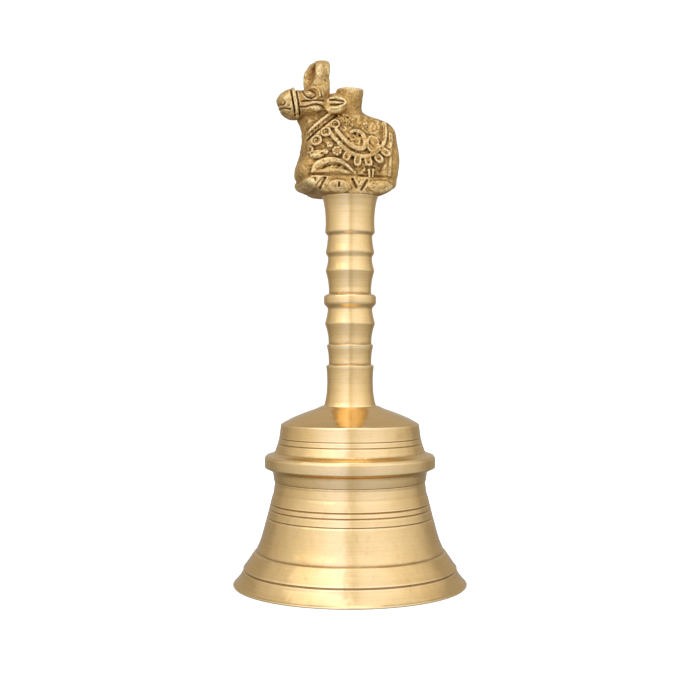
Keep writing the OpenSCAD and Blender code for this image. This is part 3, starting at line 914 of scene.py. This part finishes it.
def antique_brass(name):
    """Sand-cast brass with dark patina in the small hollows and rubbed bright where it stands out. It also
    has painted shade darkening the broad hollows, and a little painted light on the broad bulges.
    """
    look = Look(name)
    small, large = look.attribute("hollow_small"), look.attribute("hollow_large")
    grime = look.noise(0.8, 4.0, 0.65)
    grain = look.noise(1.9, 4.0, 0.68)
    cloud = look.noise(0.20, 3.0, 0.6)
    depth = look.plus(small, look.times(look.math("SUBTRACT", grime, 0.5), 0.30))
    colour = look.mix(look.spread(cloud, 0.38, 0.64), (0.77, 0.48, 0.155), (0.47, 0.275, 0.080))
    # The bright tint is polish on the small places that stand out, plus painted light on the broad bulges
    # (the large term).
    polish_and_painted_light = look.plus(depth, look.times(large, 0.30))
    colour = look.tinted(colour, polish_and_painted_light, 0.0, 0.22, 0.95, (1.0, 0.77, 0.38))
    # Painted shade: the broad hollows are darkened in the colour here, in place of the shade that falls
    # between the relief.
    colour = look.tinted(colour, large, 0.05, -0.45, 0.60, (0.27, 0.15, 0.045))
    colour = look.tinted(colour, grain, 0.50, 0.34, 0.75, (0.24, 0.13, 0.040))
    colour = look.tinted(colour, depth, 0.03, -0.09, 0.62, (0.27, 0.15, 0.048))
    colour = look.tinted(colour, depth, -0.09, -0.27, 0.90, (0.075, 0.035, 0.011))
    roughness = look.plus(look.spread(depth, -0.2, 0.15, 0.55, 0.26),
                          look.spread(grain, 0.35, 0.65, 0.10, 0.0))
    normal = look.bump(look.noise(0.8, 2.0, 0.6), 0.20)
    normal = look.bump(grain, 0.34, normal)
    look.surface(colour, roughness, normal)
    return look.material


def cast_brass(name, colour_a, colour_b):
    """Small brass castings inside the bell, tumbled but not polished."""
    look = Look(name)
    cloud, grain = look.noise(0.3, 4.0, 0.6), look.noise(3.0, 3.0, 0.65)
    colour = look.mix(look.spread(cloud, 0.35, 0.7), colour_a, colour_b)
    colour = look.tinted(colour, grain, 0.45, 0.3, 0.5, (0.25, 0.15, 0.06))
    dents = look.spread(look.cells(0.35), 0.0, 0.5)
    normal = look.bump(grain, 0.04)
    normal = look.bump(dents, 0.05, normal)
    look.surface(colour, look.spread(grain, 0.3, 0.7, 0.46, 0.32), normal)
    return look.material


def plated_steel(name):
    """Dull zinc-plated steel with drawing lines and a little grey bloom."""
    look = Look(name)
    cloud = look.noise(0.5, 4.0, 0.65)
    lines = look.noise(1.0, 2.0, 0.6, look.stretched(2.5, 2.5, 0.5))
    colour = look.mix(look.spread(cloud, 0.35, 0.7), (0.58, 0.57, 0.54), (0.43, 0.41, 0.38))
    colour = look.mix(look.spread(look.noise(1.4, 4.0, 0.7), 0.62, 0.74, 0.0, 0.6), colour,
                      (0.30, 0.21, 0.13))
    look.surface(colour, look.spread(cloud, 0.3, 0.7, 0.30, 0.50), look.bump(lines, 0.02))
    return look.material


bell_look = turned_brass("bell_brass", (0.81, 0.567, 0.248), (0.80, 0.52, 0.185), 0.55)
handle_look = turned_brass("handle_brass", (0.85, 0.588, 0.245), (0.83, 0.54, 0.19), 0.25)
figure_look = antique_brass("antique_brass")
clapper_look = cast_brass("clapper_brass", (0.62, 0.42, 0.17), (0.50, 0.32, 0.13))
steel_look = plated_steel("plated_steel")


def finish_piece(piece, body, stands_for, look):
    piece.data.materials.clear()
    piece.data.materials.append(look)
    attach(piece, body)
    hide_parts(stands_for)


# ---------------------------------------------------------------- bell shell

def scored(outline, lines):
    """Cuts V grooves into a rising outline. Each line is (z, half width, depth)."""
    out = [tuple(p) for p in outline]
    for z, half, depth in lines:
        r_at = [float(np.interp(v, [p[1] for p in out], [p[0] for p in out]))
                for v in (z - half, z, z + half)]
        cut = [(r_at[0], z - half), (r_at[1] - depth, z), (r_at[2], z + half)]
        out = ([p for p in out if p[1] < z - half] + cut + [p for p in out if p[1] > z + half])
    return np.array(out)


lip = filleted([(36.0, 0, 0), (38.35, 0, 0.5), (38.75, 0.45, 0.3), (38.05, 1.0, 0.3), (36.6, 2.8, 0.9),
                (35.8, 4.0, 0.5), (35.4, 5.1, 0.2), (35.0, 5.3, 0.1), (35.05, 5.6, 0.1),
                (35.38, 5.8, 0.25), (34.4, 7.05, 0.8), (32.65, 9.6, 1.0), (31.75, 11.0, 0.3),
                (30.95, 11.25, 0.15), (30.8, 12.2, 0)])
waist = spline([(30.8, 12.2), (29.8, 14.5), (28.9, 17.4), (28.1, 20.4), (27.2, 23.7), (26.4, 27.0),
                (25.8, 29.3), (25.35, 30.6)], 5)
collar = filleted([(25.35, 30.6, 0), (25.33, 31.0, 0.2), (24.97, 33.5, 0.4), (25.15, 34.5, 0.3),
                   (25.3, 35.0, 0.3), (25.55, 37.1, 0.5), (26.0, 37.75, 0.3), (27.5, 38.45, 0.3),
                   (28.3, 38.8, 0.3), (28.3, 42.0, 0.35), (27.7, 42.85, 0.3), (26.3, 43.25, 0.3),
                   (25.2, 43.75, 0.3), (24.9, 44.1, 0)])
cap = spline([(24.9, 44.1), (24.3, 45.8), (23.8, 47.5), (23.45, 49.2), (23.2, 51.0), (23.05, 52.3)], 5)
dome = filleted([(23.05, 52.3, 0), (23.0, 53.0, 0.5), (22.3, 53.5, 0.5), (20.1, 54.7, 1.2),
                 (17.1, 56.0, 1.5), (13.75, 57.3, 1.5), (11.6, 58.0, 1.0), (10.2, 58.65, 0.5),
                 (9.5, 59.0, 0)], 3)
outside = np.vstack([lip, waist[1:], collar[1:], cap[1:], dome[1:]])
outside = scored(outside, [(22.5, 0.3, 0.25), (25.2, 0.3, 0.28), (26.9, 0.32, 0.32), (34.2, 0.28, 0.22),
                           (46.7, 0.3, 0.24), (48.5, 0.26, 0.2)])
inside = np.vstack([
    filleted([(3.35, 59.0, 0), (3.35, 55.0, 0), (8.5, 55.0, 0.4), (14.0, 54.2, 3.0), (20.0, 51.0, 4.0),
              (21.3, 45.0, 4.0), (21.9, 38.9, 3.0), (22.5, 30.6, 0)], 5),
    spline([(22.5, 30.6), (24.1, 24.4), (26.0, 18.2), (28.2, 11.9), (31.6, 5.3), (35.4, 0.25)], 6)[1:],
    [(35.75, 0.0)]])
bell = turned("bell_wall", np.vstack([outside, inside]))
finish_piece(bell, "bell", "bell_shell", bell_look)

# ---------------------------------------------------------------- handle

handle_low, handle_high = node_box("handle_stem")
foot_z, top_z = handle_low[2], handle_high[2]
thread = 3.05
grip = filleted([
    (8.75, foot_z, 0), (8.3, 60.2, 0.5), (7.75, 63.2, 1.0), (7.57, 67.0, 1.0), (7.7, 70.5, 0.8),
    (7.92, 72.35, 0.12), (7.05, 72.85, 0.15), (7.06, 74.5, 0.6), (7.2, 76.5, 0.8),
    (7.72, 79.15, 0.12), (7.1, 79.65, 0.15), (7.2, 82.0, 0.8), (7.6, 84.1, 0.8), (8.05, 85.6, 0.6),
    (8.35, 86.4, 0.5), (8.05, 87.35, 0.6), (7.62, 89.2, 0.7), (7.36, 91.0, 0.4), (7.5, 91.65, 0.3),
    (8.5, 92.7, 0.25), (8.68, 93.2, 0.3), (8.66, 95.4, 0.35), (8.1, 95.9, 0.2), (7.05, 96.25, 0.2),
    (7.03, 98.2, 0.7), (7.35, 101.0, 0.9), (7.9, 103.1, 0.6), (8.15, 103.9, 0.5), (7.8, 105.0, 0.6),
    (7.43, 106.5, 0.6), (7.3, 108.2, 0.4), (7.45, 108.75, 0.3), (8.0, 109.6, 0.2),
    (8.08, 110.2, 0.2), (7.65, 112.2, 0.9), (7.37, 115.0, 0.7), (7.45, 115.7, 0.3),
    (8.2, 116.45, 0.2), (8.26, 116.95, 0.2), (8.1, 119.4, 0.9), (8.15, 122.0, 1.0),
    (8.45, 125.0, 1.0), (8.9, 127.3, 0.5), (9.3, top_z, 0)], 3)
outline = np.vstack([[(0, 71.9), (thread, 71.7), (thread, foot_z)], grip,
                     [(thread, top_z), (thread, 120.2), (0, 120.0)]])
handle = turned("handle_turning", outline, 256)
finish_piece(handle, "bell", "handle_stem", handle_look)

# ---------------------------------------------------------------- cast bull

figure_low, figure_high = node_box("nandi_figure")
vertices, quads, hollow_small, hollow_large = cast_bull(0.27)
vertices[:, 2] = vertices[:, 2] * (figure_high[2] - figure_low[2]) / BULL_H + figure_low[2]
bull = new_piece("cast_bull", vertices, quads, sharp_degrees=0)
for name, values in (("hollow_small", hollow_small), ("hollow_large", hollow_large)):
    bull.data.attributes.new(name, "FLOAT", "POINT").data.foreach_set("value", values)
finish_piece(bull, "bell", "nandi_figure", figure_look)

# ---------------------------------------------------------------- fittings in the crown

bolt_low, bolt_high = node_box("crown_eye_bolt")
eye_r, eye_wire, shank_r = 3.6, 1.1, 3.0
eye_z = bolt_low[2] + eye_r + eye_wire


def eye_bolt(x, y, z):
    """A threaded shank that ends below in a ring."""
    ring = np.sqrt((np.hypot(x, z - eye_z) - eye_r) ** 2 + y ** 2) - eye_wire
    turn = (z + np.arctan2(y, x) / (2 * math.pi)) % 1.0
    thread_depth = 0.3 * np.abs(2 * turn - 1) * ramp(eye_z + 4.4, eye_z + 4.9, z)
    shank = np.hypot(x, y) - (shank_r - 0.02 - thread_depth)
    shank = np.maximum(shank, np.maximum(eye_z + eye_r - z, z - bolt_high[2] + 0.05))
    return soft_min(ring, shank, 0.9)


bolt = formed("eye_bolt", bolt_low - 0.4, bolt_high + 0.4, 0.17, eye_bolt)
finish_piece(bolt, "bell", "crown_eye_bolt", steel_look)

washer_low, washer_high = node_box("crown_washer")
washer_bore_r, rim_r = 3.2, 6.98
foot, top = washer_low[2], washer_high[2]
washer_outline = filleted([(washer_bore_r, foot + 0.5, 0), (washer_bore_r, foot, 0.12),
                           (rim_r, foot, 0.3), (rim_r, top, 0.15), (washer_bore_r, top, 0.12),
                           (washer_bore_r, foot + 0.55, 0)], 3)
washer = turned("washer", washer_outline, 96)
finish_piece(washer, "bell", "crown_washer", steel_look)

nut_low, nut_high = node_box("crown_nut")
under, over = nut_low[2], nut_high[2]
bore_r, chamfer_r, corner_r = 3.02, 3.5, nut_high[0]
nut_outline = [(bore_r, under + 0.5), (chamfer_r, under), (corner_r - 1.1, under),
               (corner_r - 0.5, under + 0.2), (corner_r, under + 0.75), (corner_r, over - 0.75),
               (corner_r - 0.5, over - 0.2), (corner_r - 1.1, over), (chamfer_r, over),
               (bore_r, over - 0.5)]
nut = turned("hex_nut", nut_outline, 144, flats=6)
finish_piece(nut, "bell", "crown_nut", steel_look)

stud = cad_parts["figure_stud"]
for place in stud.material_slots:
    place.material = steel_look

# ---------------------------------------------------------------- clapper

stirrup_low, stirrup_high = node_box("clapper_stirrup")
wire = 0.8
arch_r = stirrup_high[1] - wire
arch_z = stirrup_high[2] - wire - arch_r
bar_z = stirrup_low[2] + wire
bend = 1.4
path = [(0, arch_r * math.cos(a), arch_z + arch_r * math.sin(a)) for a in np.radians(range(0, 181, 6))]
path += [(0, -arch_r, arch_z - d) for d in (0.9, 1.8, 2.6)]
path += [(0, -(arch_r - bend) - bend * math.cos(a), bar_z + bend - bend * math.sin(a))
         for a in np.radians(range(10, 91, 16))]
path += [(0, y, bar_z) for y in (-1.2, 0.0, 1.2)]
path += [(0, arch_r - bend + bend * math.sin(a), bar_z + bend - bend * math.cos(a))
         for a in np.radians(range(0, 81, 16))]
path += [(0, arch_r, arch_z - d) for d in (2.6, 1.8, 0.9)]
stirrup = wire_loop("wire_stirrup", path, wire * 0.995, 28)
finish_piece(stirrup, "stirrup", "clapper_stirrup", steel_look)

rod_low, rod_high = node_box("clapper_rod")
rod_eye_r, rod_wire, rod_r = 2.4, 1.1, 1.4
foot_middle = rod_low[2] + 0.4
rod_eye_z = rod_high[2] - rod_eye_r - rod_wire
ball_low, ball_high = node_box("clapper_ball")


def clapper_rod(x, y, z):
    """A cast rod with a ring at its top, a collar above the ball and a riveted foot under it."""
    ring = np.sqrt((np.hypot(x, z - rod_eye_z) - rod_eye_r) ** 2 + y ** 2) - (rod_wire - 0.01)
    column = np.hypot(x, y)
    shank = np.maximum(column - rod_r, np.maximum(z - rod_eye_z + rod_eye_r, rod_low[2] + 0.02 - z))
    collar = np.hypot(np.maximum(column - 1.5, 0), np.abs(z - ball_high[2] - 0.6)) - 0.59
    foot = np.maximum(column - 1.98, np.abs(z - foot_middle) - 0.38)
    foot = soft_max(foot, column + (foot_middle - z) - 1.9, 0.3)
    return soft_min(soft_min(ring, shank, 1.2), np.minimum(collar, foot), 0.25)


rod = formed("rod_casting", rod_low - 0.4, rod_high + 0.4, 0.15, clapper_rod)
finish_piece(rod, "clapper", "clapper_rod", clapper_look)

ball_r = ball_high[0]
ball_z = ball_low[2] + ball_r - 0.2
ball_curve = []
for degrees in range(-76, 62, 3):
    a = math.radians(degrees)
    seam = 0.12 if abs(degrees) < 2 else 0.0
    r = (ball_r - 0.12 + seam)
    ball_curve.append((r * math.cos(a), ball_z + r * math.sin(a)))
ball_outline = np.vstack([[(1.45, ball_low[2] + 0.3), (1.45, ball_low[2])], ball_curve,
                          filleted([(3.5, ball_z + 7.6, 0), (3.38, ball_z + 8.1, 0.4),
                                    (3.38, ball_high[2], 0.5), (1.45, ball_high[2], 0.2),
                                    (1.45, ball_high[2] - 0.5, 0)], 4)])
ball = turned("striker_ball", ball_outline, 192)
finish_piece(ball, "clapper", "clapper_ball", clapper_look)

# ---------------------------------------------------------------- floor, light and camera

VIEW_TURN = math.radians(-18)
toward = np.array([math.sin(VIEW_TURN), -math.cos(VIEW_TURN), 0])
rightward = np.array([math.cos(VIEW_TURN), math.sin(VIEW_TURN), 0])

floor_look = Look("floor_white")
tone = floor_look.mix(floor_look.noise(0.002, 2.0), (0.90, 0.90, 0.90), (0.92, 0.92, 0.92))
floor_look.surface(tone, floor_look.spread(floor_look.noise(0.01), 0.3, 0.7, 0.75, 0.8),
                   floor_look.bump(floor_look.noise(0.5), 0.01), metallic=0.0)
floor_look.shader.inputs["Specular IOR Level"].default_value = 0.0
floor_look.shader.inputs["Emission Color"].default_value = (1, 1, 1, 1)
floor_look.shader.inputs["Emission Strength"].default_value = 0.45
floor_half = 2600.0
floor_corners = [(x * floor_half, y * floor_half, 0) for x, y in ((-1, -1), (1, -1), (1, 1), (-1, 1))]
floor = new_piece("floor", floor_corners, [[0, 1, 2, 3]], 0)
floor.data.materials.append(floor_look.material)


def studio():
    """A room of soft light. Bright in front on both sides of a darker strip, dimmer at the sides
    and behind, warmer where it is dim and cooler where it is bright. Bearings are degrees to the
    right of the camera, as seen from the bell."""
    levels = [(-180, 0.50), (-125, 0.44), (-117, 0.56), (-95, 0.72), (-70, 0.95), (-52, 1.12),
              (-34, 1.30), (-12, 1.44), (-5, 1.20), (0, 0.95), (6, 0.96), (12, 1.10), (24, 1.21), (40, 1.21),
              (56, 1.14), (75, 0.98), (100, 0.76), (117, 0.58), (125, 0.44), (180, 0.50)]
    # A colour ramp holds nothing above 1, so its levels are divided here and multiplied back below
    round_scale, height_scale = 4, 2
    world = bpy.data.worlds.new("studio")
    bpy.context.scene.world = world
    world.use_nodes = True
    nodes, links = world.node_tree.nodes, world.node_tree.links
    direction = nodes.new("ShaderNodeTexCoord").outputs["Generated"]

    def along(axis):
        node = nodes.new("ShaderNodeVectorMath")
        node.operation = "DOT_PRODUCT"
        links.new(direction, node.inputs[0])
        node.inputs[1].default_value = axis
        return node.outputs["Value"]

    bearing = nodes.new("ShaderNodeMath")
    bearing.operation = "ARCTAN2"
    links.new(along(rightward), bearing.inputs[0])
    links.new(along(toward), bearing.inputs[1])
    share = nodes.new("ShaderNodeMapRange")
    links.new(bearing.outputs[0], share.inputs["Value"])
    share.inputs["From Min"].default_value, share.inputs["From Max"].default_value = -math.pi, math.pi
    scale = nodes.new("ShaderNodeValToRGB")
    links.new(share.outputs["Result"], scale.inputs["Fac"])
    stops = scale.color_ramp.elements
    for degrees, level in levels[1:-1]:
        stops.new((degrees + 180) / 360)
    for stop, (degrees, level) in zip(stops, levels):
        stop.position = (degrees + 180) / 360
        cool = min(max((level - 1.0) / 0.4, -1.0), 1.0)
        blue = 0.34 if cool > 0 else 0.12
        stop.color = (level / round_scale * (1 - 0.03 * cool), level / round_scale * (1 + 0.03 * cool),
                      level / round_scale * (1 + blue * cool), 1)
    rise = nodes.new("ShaderNodeValToRGB")
    half_up = nodes.new("ShaderNodeMath")
    half_up.operation = "ADD"
    links.new(along((0, 0, 0.5)), half_up.inputs[0])
    half_up.inputs[1].default_value = 0.5
    links.new(half_up.outputs[0], rise.inputs["Fac"])
    heights = [(0.0, 0.55), (0.35, 0.62), (0.48, 0.86), (0.56, 1.0), (0.68, 1.05), (0.80, 1.16), (1.0, 1.08)]
    for place, level in heights[1:-1]:
        rise.color_ramp.elements.new(place)
    for stop, (place, level) in zip(rise.color_ramp.elements, heights):
        stop.position = place
        stop.color = (level / height_scale, level / height_scale, level / height_scale, 1)
    strength = nodes.new("ShaderNodeMath")
    strength.operation = "MULTIPLY"
    links.new(rise.outputs["Color"], strength.inputs[0])
    strength.inputs[1].default_value = round_scale * height_scale
    links.new(scale.outputs["Color"], nodes["Background"].inputs["Color"])
    links.new(strength.outputs[0], nodes["Background"].inputs["Strength"])


studio()


BELL_MIDDLE = 0.09


def emitter(name, bearing, height, distance, size, strength):
    """A soft box that faces the bell and stays out of the picture. The bearing is in degrees to
    the right of the camera."""
    a = math.radians(bearing)
    lamp = bpy.data.lights.new(name, "AREA")
    lamp.shape, lamp.size, lamp.size_y = "RECTANGLE", size[0], size[1]
    lamp.energy = strength * size[0] * size[1] * math.pi
    holder = bpy.data.objects.new(name, lamp)
    bpy.context.scene.collection.objects.link(holder)
    spot = (toward * math.cos(a) + rightward * math.sin(a)) * distance + np.array([0, 0, height])
    holder.location = spot.tolist()
    aim = np.array([0, 0, BELL_MIDDLE]) - spot
    holder.rotation_mode = "QUATERNION"
    holder.rotation_quaternion = Vector(aim.tolist()).to_track_quat("-Z", "Y")
    holder.visible_camera = False


emitter("key_box", -50, 1.2, 1.0, (1.3, 1.3), 0.35)
emitter("top_box", 20, 1.6, 0.1, (0.8, 0.8), 0.6)

backdrop_look = Look("backdrop_white")
backdrop_look.surface((0, 0, 0, 1), 1.0, backdrop_look.bump(backdrop_look.noise(0.01), 0.01), 0.0)
backdrop_look.shader.inputs["Emission Color"].default_value = (1, 1, 1, 1)
backdrop_look.shader.inputs["Emission Strength"].default_value = 1.1
backdrop_distance, backdrop_half, backdrop_foot, backdrop_top = 900.0, 700, -2, 700
centre = -toward * backdrop_distance
corners = [centre + rightward * side * backdrop_half + np.array([0, 0, height])
           for side, height in ((-1, backdrop_foot), (1, backdrop_foot), (1, backdrop_top),
                                (-1, backdrop_top))]
backdrop = new_piece("backdrop", corners, [[0, 1, 2, 3]], 0)
backdrop.data.materials.append(backdrop_look.material)
for card in (floor, backdrop):
    card.visible_glossy = False

camera_distance, camera_height = 0.3738, 0.0776
camera_data = bpy.data.cameras.new("camera")
camera_data.lens, camera_data.sensor_width = 57.8, 36.0
camera = bpy.data.objects.new("camera", camera_data)
bpy.context.scene.collection.objects.link(camera)
camera.location = (toward * camera_distance + np.array([0, 0, camera_height])).tolist()
camera.rotation_euler = (math.pi / 2, 0, VIEW_TURN)
camera_data.clip_start, camera_data.clip_end = 0.01, 20.0
bpy.context.scene.camera = camera
bpy.context.scene.view_settings.view_transform = "Standard"
